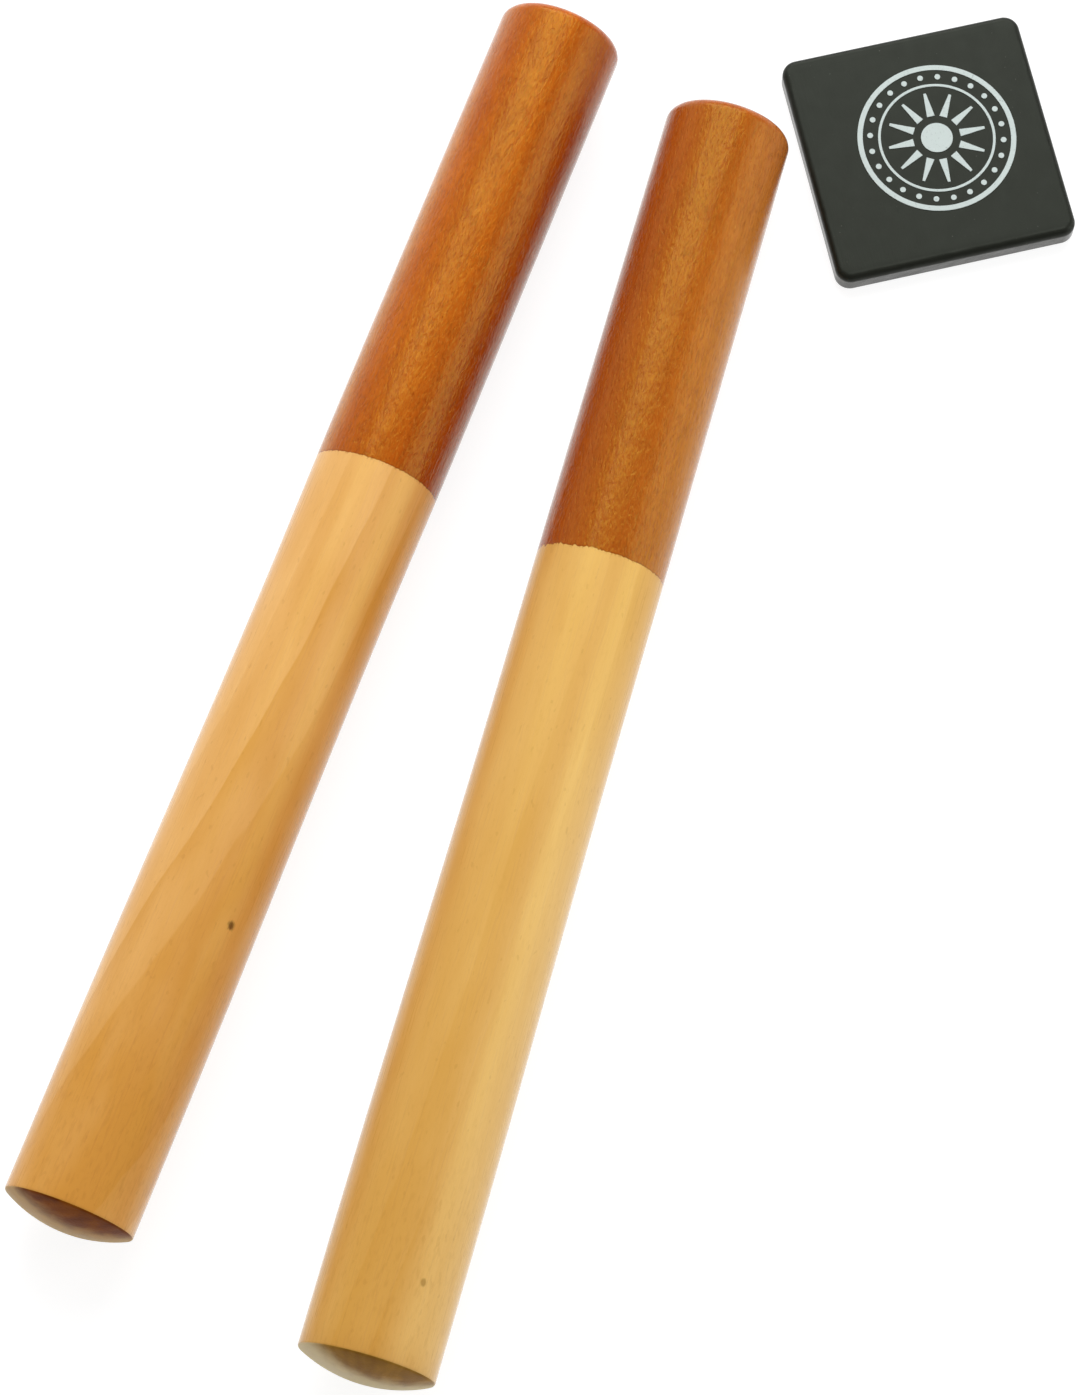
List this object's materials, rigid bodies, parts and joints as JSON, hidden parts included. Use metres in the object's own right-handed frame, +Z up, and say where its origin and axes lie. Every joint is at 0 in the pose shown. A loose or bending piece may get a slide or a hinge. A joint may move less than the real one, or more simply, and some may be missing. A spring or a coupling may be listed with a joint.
{
  "type": "woodblock set",
  "caption": "Thin square black woodblock with a printed round mark, lying beside a pair of turned wooden striking sticks with domed ends and brown-stained grips.",
  "frame": {"origin": "centre of the block's underside, on the table", "axes": "+Y along the sticks' mean direction, from the playing ends towards the grips; +Z up from the table; +X to the right, from the sticks towards the block"},
  "size_m": [0.1271, 0.29, 0.025],
  "materials": {
    "black_paint": "satin black paint over solid wood",
    "pale_print": "matte pale blue-grey ink",
    "pale_wood": "natural hardwood, sanded, with a thin satin oil",
    "stained_wood": "orange-brown stain with a satin varnish"
  },
  "bodies": {
    "block": {"block": "black_paint", "block_mark": "pale_print"},
    "left_stick": {"left_stick": "pale_wood", "left_grip_stain": "stained_wood"},
    "right_stick": {"right_stick": "pale_wood", "right_grip_stain": "stained_wood"}
  },
  "joints": [
    {"name": "left_stick_lift", "type": "slide", "parent": "block", "child": "left_stick", "axis": [0, 0, 1], "range_m": [0, 0.15]},
    {"name": "right_stick_lift", "type": "slide", "parent": "block", "child": "right_stick", "axis": [0, 0, 1], "range_m": [0, 0.15]}
  ]
}
